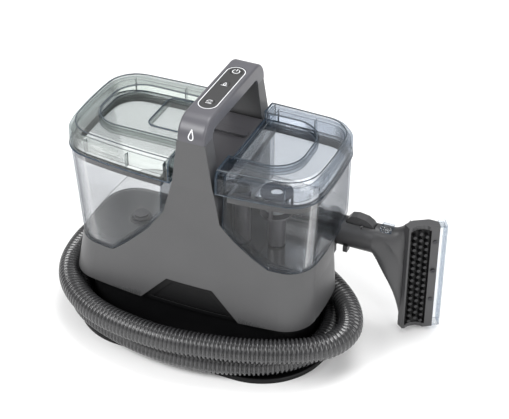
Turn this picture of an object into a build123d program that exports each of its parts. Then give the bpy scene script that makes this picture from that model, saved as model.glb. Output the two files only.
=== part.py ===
"""Portable spot extractor: a low body between two lift-out clear tanks, a loop handle over the
middle, a suction hose wound twice round the base and a brush tool parked at the rear right.

Frame: millimetres, +X towards the tool, +Y to the rear, +Z up. The origin lies on the floor,
under the middle of the carrying handle.
"""
import os
from math import cos, radians, sin, tan

from build123d import *

os.makedirs("parts", exist_ok=True)

# ---------------------------------------------------------------- driving dimensions
SKIN = 3.0  # wall of the opaque housings
CLEAR_WALL = 2.5  # wall of the clear tanks and lids
SLIP = 0.4  # gap between pieces that move apart

SHELL_BOTTOM = 70.0  # lower edge of the grey housings
COLLAR_LOW = 69.5  # underside of the collar on the base that they fit round
LEFT_DECK = 127.0  # top of the deck under the clean tank
RIGHT_DECK = 156.0  # top of the deck under the dirty tank
NECK_Z = 208.0  # where the pillar starts to flare
TANK_TOP = 250.0
LID_TOP = 284.0
CAP_SEAM = 318.0  # lower edge of the handle cap
HANDLE_TOP = 347.0

# Plan outline of the body at each height: left end, right end, front, rear
SHELL_ROWS = [
    (SHELL_BOTTOM, (-187.0, 160.0, -112.0, 46.0)),
    (LEFT_DECK, (-178.0, 157.0, -106.0, 44.0)),
]
TANK_ROWS = [
    (LEFT_DECK, (-178.0, 157.0, -106.0, 92.0)),
    (TANK_TOP, (-198.0, 158.0, -90.0, 95.0)),
]
PILLAR_ROW = (CAP_SEAM, (-198.0, 158.0, -90.0, 95.0))
SIDE_BOW = 15.0  # how far the long sides bulge
END_BOW = 6.0  # how far the ends bulge
CORNER = 42.0
TANK_NEAR = 31.0  # inner wall of each tank, from the middle
PARTING_Y = -8.0  # seam between the front and rear housings

# Recess in the rear of the body where the tool handle is parked
NICHE_LEFT = -60.0
NICHE_FRONT = 28.0
NICHE_FLOOR = 108.0

# Carrying handle and its pillars
HANDLE_HALF = 19.0
PILLAR_HALF = 27.5
NECK_HALF = 39.0
PILLAR_BACK = -67.0  # inner face of the front pillar
REAR_PILLAR_FRONT = 69.0

# Base, drum and hose
FLANGE_T = 6.5
HOSE_R = 16.5
DRUM = (-176.0, 147.0, -101.0, 44.0)
# Centreline of each turn of hose, clockwise from above
LOWER_TURN = [
    (60.0, 61.0),
    (98.0, 61.0),
    (130.0, 48.0),
    (156.0, 20.0),
    (167.0, -18.0),
    (164.0, -60.0),
    (141.0, -94.0),
    (112.0, -118.0),
    (64.0, -137.0),
    (10.0, -147.0),
    (-48.0, -145.0),
    (-100.0, -134.0),
    (-149.0, -116.0),
    (-182.0, -84.0),
    (-196.0, -42.0),
    (-195.0, 2.0),
    (-179.0, 33.0),
    (-150.0, 55.0),
    (-110.0, 62.0),
]
UPPER_TURN = [
    (30.0, 72.0),
    (75.0, 68.0),
    (116.0, 55.0),
    (150.0, 32.0),
    (176.0, 8.0),
    (194.0, -20.0),
    (201.0, -50.0),
    (190.0, -80.0),
    (166.0, -102.0),
    (130.0, -121.0),
    (88.0, -137.0),
    (38.0, -149.0),
    (-16.0, -157.0),
    (-75.0, -153.0),
    (-120.0, -143.0),
    (-157.0, -124.0),
    (-186.0, -97.0),
    (-204.0, -64.0),
    (-211.0, -28.0),
    (-205.0, 14.0),
    (-170.0, 54.0),
    (-110.0, 74.0),
]
FLANGE = (-190.0, 171.0, -139.0, 82.0)
LOWER_TURN_Z = 23.5
UPPER_TURN_Z = 52.5
TURN_CLIMB_X = -30.0  # where the lower turn has climbed half way to the upper one
HOSE_START = (60.0, 61.0, 23.5)  # mouth of the hose port
HOSE_ROUTE = [
    (-211.0, -28.0, 52.5),
    (-211.0, 8.0, 53.0),
    (-197.0, 44.0, 55.0),
    (-166.0, 74.0, 59.0),
    (-124.0, 88.0, 66.0),
    (-78.0, 84.0, 80.0),
    (-30.0, 72.0, 104.0),
    (10.0, 60.0, 126.0),
    (48.0, 52.0, 136.5),
    (86.0, 50.0, 138.0),
]

# Tool, parked with its handle along X
TOOL_Y = 50.0
TOOL_Z = 138.0
TOOL_R = 20.0
TOOL_WALL = 2.5
TOOL_START = 98.0
TOOL_END = 198.0
HEAD_LOW = 8.0
HEAD_HIGH = 176.0
HEAD_TURN = 32.0  # angle between the brush face and the handle
HEAD_CORNER = (246.0, 38.0)  # plan place of the brush face's left edge
TRIGGER_PIVOT = (180.0, 156.0)  # X and Z of the trigger pin

# Inner parts
MOTOR_AT = (92.0, -36.0)
PUMP_AT = (-95.0, -30.0)
VALVE_AT = (-112.0, -22.0)
INTAKE_AT = (48.0, -47.0)
FLOAT_AT = MOTOR_AT

SCREW_POSTS = [(-150, -52), (-150, 0), (-12, -84), (-18, 12), (118, 12)]
GLAND_AT = (-75.0, 92.0)  # X and Z

# Control panel on top of the handle
PANEL_AT = (0.0, 2.0)
PANEL_SEAT = 344.4
POWER_AT = (0.0, 44.0)
MODE_AT = [(0.0, 11.0), (0.0, -35.0)]
POWER_R = 7.5
MODE_R = 6.0


# ---------------------------------------------------------------- shared shapes
def finish(builder, name):
    """Label a finished piece and write it."""
    builder.part.label = name
    export_step(builder.part, f"parts/{name}.step")
    print(f"{name}: {len(builder.part.solids())} solid(s), {builder.part.volume / 1000:.1f} cm3")


def outline(height, edges, inset=0.0):
    """Plan of the body at one height: four bowed sides with rounded corners."""
    left, right, front, rear = edges
    left, right, front, rear = left + inset, right - inset, front + inset, rear - inset
    mid_x, mid_y = (left + right) / 2, (front + rear) / 2
    west, east = left + END_BOW, right - END_BOW
    south, north = front + SIDE_BOW, rear - SIDE_BOW / 3
    with BuildSketch(Plane.XY.offset(height)) as plan:
        with BuildLine():
            ThreePointArc((west, south), (mid_x, front), (east, south))
            ThreePointArc((east, south), (right, mid_y), (east, north))
            ThreePointArc((east, north), (mid_x, rear), (west, north))
            ThreePointArc((west, north), (left, mid_y), (west, south))
        make_face()
        fillet(plan.vertices(), CORNER - inset)
    return plan.sketch


def body_block(rows, inset=0.0):
    """Solid between the outlines of the given rows."""
    with BuildPart() as block:
        for lower, upper in zip(rows, rows[1:]):
            loft(sections=[outline(*lower, inset), outline(*upper, inset)], ruled=True)
    return block.part


def block(low, high):
    """Box between two corners."""
    size = [b - a for a, b in zip(low, high)]
    middle = [(a + b) / 2 for a, b in zip(low, high)]
    return Pos(*middle) * Box(*size, mode=Mode.PRIVATE)


def loop_plan(height, edges, radius, grow=0.0):
    """Rounded rectangle given by its edges, grown outwards."""
    left, right, front, rear = edges
    with BuildSketch(Plane.XY.offset(height)) as plan:
        with Locations(((left + right) / 2, (front + rear) / 2)):
            RectangleRounded(right - left + 2 * grow, rear - front + 2 * grow, radius + grow)
    return plan.sketch


def turn_plan(height, centreline, grow):
    """Area inside a turn of hose, grown outwards from its centreline."""
    with BuildSketch(Plane.XY.offset(height)) as plan:
        with BuildLine():
            FilletPolyline(*centreline, radius=30, close=True)
        make_face()
        offset(amount=grow)
    return plan.sketch


def front_view(points, front, back, grow=0.0):
    """Solid whose outline seen from the front is the given one, between two depths."""
    with BuildPart() as slab:
        with BuildSketch(Plane.XZ.offset(-back)):
            with BuildLine():
                Polyline(*points, close=True)
            make_face()
            if grow:
                offset(amount=grow)
        extrude(amount=back - front)
    return slab.part


def tube(path, radius, wall=0.0):
    """Round bar, or pipe when it has a wall, along a path."""
    with BuildPart() as pipe:
        with BuildSketch(Plane(path @ 0, z_dir=path % 0)):
            Circle(radius)
            if wall:
                Circle(radius - wall, mode=Mode.SUBTRACT)
        sweep(path=path)
    return pipe.part


def cylinder_at(x, y, low, high, radius, bore=0.0):
    """Upright cylinder, or ring when it has a bore."""
    with BuildPart() as piece:
        with BuildSketch(Plane.XY.offset(low)):
            with Locations((x, y)):
                Circle(radius)
                if bore:
                    Circle(bore, mode=Mode.SUBTRACT)
        extrude(amount=high - low)
    return piece.part


# Front view of the grey front housing: pillar, flare and lower body
FLARE_LEFT = (-112.0, LEFT_DECK + 2)
FLARE_RIGHT = (105.0, RIGHT_DECK + 2)
FRONT_VIEW = [
    (-HANDLE_HALF, CAP_SEAM),
    (-PILLAR_HALF, 256.0),
    (-NECK_HALF, NECK_Z),
    (-62.0, 176.0),
    (-90.0, 148.0),
    FLARE_LEFT,
    (-118.0, LEFT_DECK),
    (-260.0, LEFT_DECK),
    (-260.0, SHELL_BOTTOM),
    (260.0, SHELL_BOTTOM),
    (260.0, RIGHT_DECK),
    (134.0, RIGHT_DECK),
    FLARE_RIGHT,
    (82.0, 172.0),
    (58.0, 190.0),
    (NECK_HALF, NECK_Z),
    (PILLAR_HALF, 256.0),
    (HANDLE_HALF, CAP_SEAM),
]
NOTCH_VIEW = [(-32.5, 110.0), (-70.0, SHELL_BOTTOM), (70.0, SHELL_BOTTOM), (32.5, 110.0)]
FRONT_ROWS = SHELL_ROWS + TANK_ROWS[1:] + [PILLAR_ROW]


# ---------------------------------------------------------------- base
with BuildPart() as base_tray:
    with BuildSketch():
        add(loop_plan(0, FLANGE, 95))
    extrude(amount=FLANGE_T)
    fillet(base_tray.faces().sort_by(Axis.Z)[-1].outer_wire().edges(), 2.5)
    with BuildSketch(Plane.XY.offset(FLANGE_T)):
        add(loop_plan(FLANGE_T, DRUM, 70))
    extrude(amount=COLLAR_LOW - FLANGE_T)
    # Collar that the housings sit on
    with BuildSketch(Plane.XY.offset(COLLAR_LOW)):
        add(outline(0, SHELL_ROWS[0][1], SKIN + 0.6))
    extrude(amount=5)
    with BuildSketch(Plane.XY.offset(4)):
        add(loop_plan(0, DRUM, 70, grow=-SKIN))
    extrude(amount=SHELL_BOTTOM + 5, mode=Mode.SUBTRACT)
    # Pockets for the rubber feet, and the hole for the hose port
    with BuildSketch():
        with Locations((-120, -95), (104, -95), (-120, 40), (104, 40)):
            Circle(13.2)
    extrude(amount=2.5, mode=Mode.SUBTRACT)
    with BuildSketch(Plane.XZ.offset(-60)):
        with Locations((HOSE_START[0] - 25, HOSE_START[2])):
            Circle(17.4)
    extrude(amount=30, mode=Mode.SUBTRACT)
    for spot in SCREW_POSTS:
        add(cylinder_at(*spot, -1, 3, 3.6), mode=Mode.SUBTRACT)
        add(cylinder_at(*spot, 2, 5, 1.95), mode=Mode.SUBTRACT)
finish(base_tray, "base_tray")

with BuildPart() as foot_pads:
    with BuildSketch():
        with Locations((-120, -95), (104, -95), (-120, 40), (104, 40)):
            Circle(13.0)
    extrude(amount=2.5)
finish(foot_pads, "foot_pads")

# Black panel that fills the trapezoid notch in the front of the grey housing
with BuildPart() as front_panel:
    add(body_block(SHELL_ROWS, SKIN + 0.2))
    add(front_view([(-42, 118), (-84, 75), (84, 75), (42, 118)], -140, -100), mode=Mode.INTERSECT)
    add(body_block(SHELL_ROWS, SKIN + 3.2), mode=Mode.SUBTRACT)
    # Shallow sunk field inside a raised rim
    add(
        front_view([(-27, 103.5), (-55, 74), (55, 74), (27, 103.5)], -140, -90)
        - body_block(SHELL_ROWS, SKIN + 1.9),
        mode=Mode.SUBTRACT,
    )
finish(front_panel, "front_panel")

# ---------------------------------------------------------------- housings
with BuildPart() as front_housing:
    add(body_block(FRONT_ROWS))
    add(front_view(FRONT_VIEW, -140, PARTING_Y), mode=Mode.INTERSECT)
    inner_block = body_block(FRONT_ROWS, SKIN)
    hollow = inner_block & block((-260, -140, 60), (260, 0, NECK_Z))
    add(hollow, mode=Mode.SUBTRACT)
    add(block((-260, PILLAR_BACK, NECK_Z), (260, 0, 330)), mode=Mode.SUBTRACT)
    pillar_hollow = front_view(
        [
            (-HANDLE_HALF + SKIN, CAP_SEAM),
            (-PILLAR_HALF + SKIN, 256.0),
            (-NECK_HALF + SKIN, NECK_Z - 8),
            (NECK_HALF - SKIN, NECK_Z - 8),
            (PILLAR_HALF - SKIN, 256.0),
            (HANDLE_HALF - SKIN, CAP_SEAM),
        ],
        -140,
        PILLAR_BACK - SKIN,
    )
    add(inner_block & pillar_hollow, mode=Mode.SUBTRACT)
    add(front_view(NOTCH_VIEW, -140, -90), mode=Mode.SUBTRACT)
finish(front_housing, "front_housing")

with BuildPart() as rear_housing:
    add(body_block(SHELL_ROWS))
    add(body_block([SHELL_ROWS[1], (RIGHT_DECK, (-182.0, 157.0, -102.0, 44.0))]))
    add(block((-260, -140, 60), (260, PARTING_Y, 200)), mode=Mode.SUBTRACT)
    add(block((-260, -140, LEFT_DECK), (-30, 140, 200)), mode=Mode.SUBTRACT)
    add(block((NICHE_LEFT, NICHE_FRONT, NICHE_FLOOR), (260, 140, 200)), mode=Mode.SUBTRACT)
    rear_inner = body_block(SHELL_ROWS, SKIN)
    rear_inner += body_block([SHELL_ROWS[1], (RIGHT_DECK, (-182.0, 157.0, -102.0, 44.0))], SKIN)
    rear_inner -= block(
        (NICHE_LEFT - SKIN, NICHE_FRONT - SKIN, NICHE_FLOOR - SKIN), (260, 140, 200)
    )
    rear_inner -= block((-260, -140, LEFT_DECK - SKIN), (-30 + SKIN, 140, 200)) & block(
        (-30, -140, LEFT_DECK - SKIN), (-30 + SKIN, 140, 200)
    )
    add(rear_inner, mode=Mode.SUBTRACT)
    # Shelf over the parked tool handle, and the rear pillar that stands on it
    add(block((-PILLAR_HALF, NICHE_FRONT - SKIN, 159.5), (PILLAR_HALF, 96, 166)))
    with BuildSketch(Plane.XY.offset(166)):
        with Locations((0, 82.5)):
            Rectangle(2 * PILLAR_HALF, 27)
    with BuildSketch(Plane.XY.offset(256)):
        with Locations((0, 82.5)):
            Rectangle(2 * PILLAR_HALF - 2, 27)
    loft(ruled=True)
    with BuildSketch(Plane.XY.offset(256)):
        with Locations((0, 82.5)):
            Rectangle(2 * PILLAR_HALF - 2, 27)
    with BuildSketch(Plane.XY.offset(CAP_SEAM)):
        with Locations((0, 81)):
            Rectangle(2 * HANDLE_HALF, 22)
    loft(ruled=True)
    fillet(
        rear_housing.edges().filter_by_position(Axis.Z, 180, 316).filter_by_position(Axis.Y, 90, 97),
        5,
    )
    with BuildSketch(Plane.XY.offset(175)):
        with Locations((0, 82.5)):
            Rectangle(2 * PILLAR_HALF - 9, 20)
    with BuildSketch(Plane.XY.offset(CAP_SEAM)):
        with Locations((0, 81)):
            Rectangle(2 * HANDLE_HALF - 7, 15)
    loft(ruled=True, mode=Mode.SUBTRACT)
    # Window of the exhaust grille, hole of the mains gland
    add(block((-140, 30, 80), (-90, 60, 106)), mode=Mode.SUBTRACT)
    with BuildSketch(Plane.XZ.offset(-36)):
        with Locations(GLAND_AT):
            Circle(8.1)
    extrude(amount=-20, mode=Mode.SUBTRACT)
    # Post that carries the shelf on the body
    add(block((-PILLAR_HALF, NICHE_FRONT - SKIN, RIGHT_DECK), (PILLAR_HALF, NICHE_FRONT, 166)))
finish(rear_housing, "rear_housing")

with BuildPart() as tank_platform:
    left_deck = body_block(SHELL_ROWS, SKIN + 0.8) & block(
        (-260, -140, LEFT_DECK - SKIN), (-30.2, 140, LEFT_DECK)
    )
    right_rows = [SHELL_ROWS[1], (RIGHT_DECK, (-182.0, 157.0, -102.0, 44.0))]
    right_deck = body_block(right_rows, SKIN + 0.8) & block(
        (-30.2, -140, RIGHT_DECK - SKIN), (260, 140, RIGHT_DECK)
    )
    add(left_deck)
    add(right_deck)
    add(block((-30.2, -100, LEFT_DECK - SKIN), (-27.2, PARTING_Y - 0.2, RIGHT_DECK)))
    add(block((-31, PARTING_Y - 0.2, 120), (-26.8, 140, 170)), mode=Mode.SUBTRACT)
    add(
        block((NICHE_LEFT - 3.2, NICHE_FRONT - 3.2, 100), (260, 140, 170)),
        mode=Mode.SUBTRACT,
    )
    # Hollow column between the two tanks
    add(block((-26.5, -66.5, RIGHT_DECK), (26.5, 68.5, 262)))
    add(block((-23.5, -63.5, RIGHT_DECK), (23.5, 65.5, 263)), mode=Mode.SUBTRACT)
    add(block((-27, NICHE_FRONT - 3.2, RIGHT_DECK - 1), (27, 70, 166.2)), mode=Mode.SUBTRACT)
    # Holes for the clean water valve, the dirty air intake and the motor inlet
    for spot, hole in ((VALVE_AT, 16.5), (INTAKE_AT, 12.0), (FLOAT_AT, 12.0)):
        add(cylinder_at(*spot, 120, 158, hole), mode=Mode.SUBTRACT)
    # Posts that screw to the base
    for spot in SCREW_POSTS:
        top = LEFT_DECK - SKIN if spot[0] < -30 else RIGHT_DECK - SKIN
        add(cylinder_at(*spot, 4, top, 5.5, 1.9))
finish(tank_platform, "tank_platform")

with BuildPart() as base_screws:
    for spot in SCREW_POSTS:
        add(cylinder_at(*spot, 0.6, 3.0, 3.4))
        add(cylinder_at(*spot, 3.0, 18.0, 1.85))
finish(base_screws, "base_screws")

with BuildPart() as column_cap:
    with BuildSketch(Plane.XY.offset(262)):
        with Locations((0, 1)):
            RectangleRounded(56, 134, 4)
    extrude(amount=7)
    fillet(column_cap.faces().sort_by(Axis.Z)[-1].edges(), 3)
    # Raised bar across the cap that the lids click against
    with BuildSketch(Plane.XY.offset(269)):
        with Locations((0, 22)):
            RectangleRounded(50, 12, 5)
    extrude(amount=4)
finish(column_cap, "column_cap")

with BuildPart() as exhaust_grille:
    add(block((-139.7, 37, 80.3), (-90.3, 40, 105.7)))
    with BuildSketch(Plane.XZ.offset(-45)):
        with GridLocations(0, 4.6, 1, 5):
            with Locations((-115, 93)):
                SlotOverall(40, 2.2)
    extrude(amount=12, mode=Mode.SUBTRACT)
finish(exhaust_grille, "exhaust_grille")

with BuildPart() as cord_gland:
    with BuildSketch(Plane.XZ.offset(-38)):
        with Locations(GLAND_AT):
            Circle(8)
            Circle(3.6, mode=Mode.SUBTRACT)
    extrude(amount=-14)
finish(cord_gland, "cord_gland")


# ---------------------------------------------------------------- carrying handle
def arch(front, back, top, bend, low=CAP_SEAM):
    """Side view of a flat-topped arch with rounded shoulders."""
    with BuildSketch(Plane.YZ) as side:
        with Locations(((front + back) / 2, (low + top) / 2)):
            Rectangle(back - front, top - low)
        fillet(side.vertices().group_by(Axis.Y)[-1], bend)
    return side.sketch


GRIP_GAP = arch(PILLAR_BACK, REAR_PILLAR_FRONT + 1, HANDLE_TOP - 19, 10, CAP_SEAM - 2)

with BuildPart() as handle_cap:
    extrude(arch(-90, 92, HANDLE_TOP, 27), amount=HANDLE_HALF, both=True)
    fillet(
        handle_cap.edges()
        .filter_by(lambda e: abs(abs(e.center().X) - HANDLE_HALF) < 0.1)
        .filter_by(lambda e: e.center().Z > CAP_SEAM + 0.1),
        3.5,
    )
    extrude(GRIP_GAP, amount=30, both=True, mode=Mode.SUBTRACT)
    hollow_side = arch(-87, 89, HANDLE_TOP - 4.5, 22, CAP_SEAM - 1)
    extrude(hollow_side, amount=HANDLE_HALF - SKIN, both=True, mode=Mode.SUBTRACT)
    with BuildSketch(Plane.XY.offset(PANEL_SEAT)):
        with Locations(PANEL_AT):
            SlotOverall(108.5, 27.5, rotation=90)
    extrude(amount=10, mode=Mode.SUBTRACT)
    for spot, radius in [(POWER_AT, POWER_R)] + [(spot, MODE_R) for spot in MODE_AT]:
        add(cylinder_at(*spot, 338, 350, radius + SLIP), mode=Mode.SUBTRACT)
finish(handle_cap, "handle_cap")

with BuildPart() as handle_grip:
    grip_line = arch(PILLAR_BACK - 4, REAR_PILLAR_FRONT + 5, HANDLE_TOP - 15, 13)
    extrude(grip_line, amount=HANDLE_HALF - SKIN - 0.2, both=True)
    extrude(GRIP_GAP, amount=30, both=True, mode=Mode.SUBTRACT)
finish(handle_grip, "handle_grip")

with BuildPart() as control_panel:
    with BuildSketch(Plane.XY.offset(PANEL_SEAT)):
        with Locations(PANEL_AT):
            SlotOverall(108, 27, rotation=90)
    extrude(amount=2.2)
    for spot, radius in [(POWER_AT, POWER_R)] + [(spot, MODE_R) for spot in MODE_AT]:
        add(cylinder_at(*spot, 338, 350, radius + SLIP), mode=Mode.SUBTRACT)
finish(control_panel, "control_panel")

with BuildPart() as power_button:
    add(cylinder_at(*POWER_AT, 341.6, 347.0, POWER_R))
    fillet(power_button.faces().sort_by(Axis.Z)[-1].edges(), 0.8)
finish(power_button, "power_button")

for label, spot in zip(("spray_button", "suction_button"), MODE_AT):
    with BuildPart() as mode_button:
        add(cylinder_at(*spot, 341.6, 347.0, MODE_R))
        fillet(mode_button.faces().sort_by(Axis.Z)[-1].edges(), 0.8)
    finish(mode_button, label)

with BuildPart() as control_board:
    with BuildSketch(Plane.XY.offset(333)):
        with Locations(PANEL_AT):
            Rectangle(26, 112)
    extrude(amount=1.6)
    with BuildSketch(Plane.XY.offset(334.6)):
        with Locations(POWER_AT, *MODE_AT):
            Rectangle(6, 6)
        with Locations((8, -10), (-8, 24)):
            Rectangle(7, 9)
    extrude(amount=3.4)
    with BuildSketch(Plane.XY.offset(338)):
        with Locations(POWER_AT, *MODE_AT):
            Circle(1.6)
    extrude(amount=2.0)
finish(control_board, "control_board")


# ---------------------------------------------------------------- tanks and lids
def tank(side, deck):
    """Open tank on one side of the pillar, flush with the front housing."""
    near, far = side * TANK_NEAR, side * 260.0
    x_span = sorted((near, far))
    wall_span = sorted((near + side * CLEAR_WALL, far))
    notch = sorted((near, near + side * 11.5))
    notch_wall = sorted((near, near + side * (11.5 + CLEAR_WALL)))
    outer = body_block(TANK_ROWS) & block((x_span[0], -140, deck + SLIP), (x_span[1], 140, TANK_TOP))
    outer -= front_view(FRONT_VIEW, -140, -84.0, grow=1.2)
    outer -= block((notch[0], -140, 100), (notch[1], -64, 260))
    inner = body_block(TANK_ROWS, CLEAR_WALL) & block(
        (wall_span[0], -140, deck + SLIP + CLEAR_WALL), (wall_span[1], 140, 260)
    )
    inner -= front_view(FRONT_VIEW, -140, -84.0 + CLEAR_WALL, grow=1.2 + CLEAR_WALL)
    inner -= block((notch_wall[0], -140, 100), (notch_wall[1], -64 + CLEAR_WALL, 260))
    return outer, inner


with BuildPart() as clean_tank:
    clean_outer, clean_inner = tank(-1, LEFT_DECK)
    add(clean_outer)
    add(clean_inner, mode=Mode.SUBTRACT)
    add(cylinder_at(*VALVE_AT, 120, 140, 12), mode=Mode.SUBTRACT)
finish(clean_tank, "clean_tank")

with BuildPart() as dirty_tank:
    dirty_outer, dirty_inner = tank(1, RIGHT_DECK)
    step_top = TOOL_Z + TOOL_R + 6.0
    add(dirty_outer)
    add(block((20, NICHE_FRONT - 2, 150), (260, 140, step_top)), mode=Mode.SUBTRACT)
    add(
        dirty_inner
        - block(
            (20, NICHE_FRONT - 2 - CLEAR_WALL, 150), (260, 140, step_top + CLEAR_WALL)
        ),
        mode=Mode.SUBTRACT,
    )
    add(cylinder_at(*INTAKE_AT, 150, 165, 9), mode=Mode.SUBTRACT)
    add(cylinder_at(*FLOAT_AT, 150, 165, 9), mode=Mode.SUBTRACT)
finish(dirty_tank, "dirty_tank")

LID_EDGES = (-199.0, 159.0, -91.0, 96.0)
LID_ROWS = [
    (TANK_TOP + SLIP, LID_EDGES),
    (LID_TOP - 9, (-198.5, 158.5, -90.5, 96.0)),
    (LID_TOP - 3, (-195.5, 155.5, -87.5, 93.0)),
    (LID_TOP, (-189.0, 149.0, -81.0, 86.5)),
]
LID_INNER_ROWS = [LID_ROWS[0], *((z - CLEAR_WALL, edges) for z, edges in LID_ROWS[1:])]
POCKET_FLOOR = 273.0
POCKETS = {-1: (-170.0, 10.0, -42.0, 63.0), 1: (-30.0, 118.0, -48.0, 63.0)}


def lid(side):
    """Shallow clear lid with a finger pocket that opens towards the handle."""
    near, far = side * TANK_NEAR, side * 260.0
    x_span = sorted((near, far))
    wall_span = sorted((near + side * CLEAR_WALL, far))
    shell = body_block(LID_ROWS) & block((x_span[0], -140, 240), (x_span[1], 140, 300))
    hollow = body_block(LID_INNER_ROWS, CLEAR_WALL) & block(
        (wall_span[0], -140, 240), (wall_span[1], 140, 300)
    )
    with BuildPart() as pocket:
        extrude(loop_plan(POCKET_FLOOR, POCKETS[side], 40), amount=30)
    with BuildPart() as pocket_shell:
        extrude(
            loop_plan(POCKET_FLOOR - CLEAR_WALL, POCKETS[side], 40, grow=CLEAR_WALL), amount=30
        )
    return (shell - (hollow - pocket_shell.part)) - pocket.part


def lid_seal(side):
    """Rubber ring under a lid, just inside the mouth of its tank."""
    near, far = side * (TANK_NEAR + CLEAR_WALL + SLIP), side * 260.0
    outer_span, inner_span = sorted((near, far)), sorted((near + side * 4, far))
    gap = CLEAR_WALL + SLIP
    clear_of_pillar = front_view(FRONT_VIEW, -140, -84.0 + gap, grow=1.2 + gap)
    notch = sorted((side * TANK_NEAR, side * (TANK_NEAR + 11.5 + gap)))
    notch_inner = sorted((side * TANK_NEAR, side * (TANK_NEAR + 15.5 + gap)))
    # No wider anywhere than the mouth, so that it slides out past the leaning front wall
    with BuildPart() as mouth:
        extrude(outline(235, TANK_ROWS[1][1], gap), amount=20)
    ring = body_block(TANK_ROWS, gap) & mouth.part
    ring &= block((outer_span[0], -140, 239.5), (outer_span[1], 140, 250.4))
    ring -= clear_of_pillar + block((notch[0], -140, 235), (notch[1], -64 + gap, 260))
    core = body_block(TANK_ROWS, gap + 4) & block((inner_span[0], -140, 235), (inner_span[1], 140, 260))
    core -= block((notch_inner[0], -140, 235), (notch_inner[1], -60 + gap, 260))
    return ring - core


HINGE_X, HINGE_Z = -38.5, 279.5
FLAP = (-103.0, -46.0, -14.0, 58.0)

with BuildPart() as clean_lid:
    add(lid(-1))
    # Filling hole in the pocket floor, and the two lugs of the flap's hinge
    with BuildSketch(Plane.XY.offset(POCKET_FLOOR - 5)):
        add(loop_plan(0, FLAP, 12, grow=-5))
    extrude(amount=8, mode=Mode.SUBTRACT)
    for y in (2.0, 40.0):
        add(block((HINGE_X - 4, y, POCKET_FLOOR), (HINGE_X + 4, y + 8, HINGE_Z + 4)))
    with BuildSketch(Plane.XZ.offset(30)):
        with Locations((HINGE_X, HINGE_Z)):
            Circle(1.55)
    extrude(amount=-90, mode=Mode.SUBTRACT)
finish(clean_lid, "clean_lid")

with BuildPart() as fill_flap:
    with BuildSketch(Plane.XY.offset(POCKET_FLOOR + SLIP)):
        add(loop_plan(0, FLAP, 12))
    extrude(amount=3)
    fillet(fill_flap.faces().sort_by(Axis.Z)[-1].edges(), 1)
    add(block((-48, 10.5, POCKET_FLOOR + SLIP), (HINGE_X, 39.5, POCKET_FLOOR + SLIP + 3)))
    with BuildSketch(Plane.XZ.offset(-10.5)):
        with Locations((HINGE_X, HINGE_Z)):
            Circle(4)
        with Locations((HINGE_X, HINGE_Z - 2.5)):
            Rectangle(8, 5)
    extrude(amount=-29)
    with BuildSketch(Plane.XZ.offset(30)):
        with Locations((HINGE_X, HINGE_Z)):
            Circle(1.55)
    extrude(amount=-90, mode=Mode.SUBTRACT)
finish(fill_flap, "fill_flap")

with BuildPart() as flap_pin:
    with BuildSketch(Plane.XZ.offset(-2)):
        with Locations((HINGE_X, HINGE_Z)):
            Circle(1.5)
    extrude(amount=-46)
finish(flap_pin, "flap_pin")

with BuildPart() as clean_lid_seal:
    add(lid_seal(-1))
finish(clean_lid_seal, "clean_lid_seal")

with BuildPart() as dirty_lid:
    add(lid(1))
finish(dirty_lid, "dirty_lid")

with BuildPart() as dirty_lid_seal:
    add(lid_seal(1))
finish(dirty_lid_seal, "dirty_lid_seal")

# ---------------------------------------------------------------- inside the clean tank
VALVE_TOP = LEFT_DECK + SLIP + CLEAR_WALL + 3

with BuildPart() as valve_seat:
    add(cylinder_at(*VALVE_AT, 117, LEFT_DECK + SLIP, 15, 7))
    add(cylinder_at(*VALVE_AT, LEFT_DECK + SLIP, VALVE_TOP, 11.8, 7))
finish(valve_seat, "valve_seat")

with BuildPart() as valve_poppet:
    add(cylinder_at(*VALVE_AT, 113, VALVE_TOP + SLIP, 3))
    add(cylinder_at(*VALVE_AT, VALVE_TOP + SLIP, VALVE_TOP + 3, 9.5))
finish(valve_poppet, "valve_poppet")

with BuildPart() as valve_spring:
    add(cylinder_at(*VALVE_AT, 118, VALVE_TOP - 0.4, 5.6, 4.2))
finish(valve_spring, "valve_spring")

with BuildPart() as tank_socket:
    add(cylinder_at(*VALVE_AT, 102, 105, 20))
    add(cylinder_at(*VALVE_AT, 105, LEFT_DECK - SKIN, 20, 16.5))
    add(cylinder_at(*VALVE_AT, 105, 109, 3))
    add(cylinder_at(VALVE_AT[0] + 9, VALVE_AT[1], 94, 102, 4.5))
finish(tank_socket, "tank_socket")

# ---------------------------------------------------------------- inside the dirty tank
FLOOR_Z = RIGHT_DECK + SLIP + CLEAR_WALL

with BuildPart() as intake_pipe:
    add(cylinder_at(*INTAKE_AT, FLOOR_Z, 212, 11.5, 9))
    with BuildSketch(Plane.XY.offset(212)):
        with Locations(INTAKE_AT):
            Circle(11.5)
    with BuildSketch(Plane.XY.offset(238)):
        with Locations(INTAKE_AT):
            Circle(20 - 6)
    loft()
    with BuildSketch(Plane.XY.offset(211)):
        with Locations(INTAKE_AT):
            Circle(9)
    with BuildSketch(Plane.XY.offset(239)):
        with Locations(INTAKE_AT):
            Circle(12)
    loft(mode=Mode.SUBTRACT)
finish(intake_pipe, "intake_pipe")

FLOAT_LIFT = 10.0

with BuildPart() as air_pipe:
    add(cylinder_at(*FLOAT_AT, FLOOR_Z, 206, 11.5, 9))
    add(cylinder_at(*FLOAT_AT, 206, 209, 21, 9))
    # Three ribs carry the cage's top ring over the float
    with BuildSketch(Plane.XY.offset(209)):
        with Locations(FLOAT_AT):
            with PolarLocations(19.5, 3, start_angle=30):
                Rectangle(3, 5)
    extrude(amount=27)
    add(cylinder_at(*FLOAT_AT, 236, 239, 21, 8))
finish(air_pipe, "air_pipe")

with BuildPart() as float_disc:
    add(cylinder_at(*FLOAT_AT, 211, 225, 15.5))
    fillet(float_disc.edges(), 3)
finish(float_disc, "float_disc")

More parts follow.
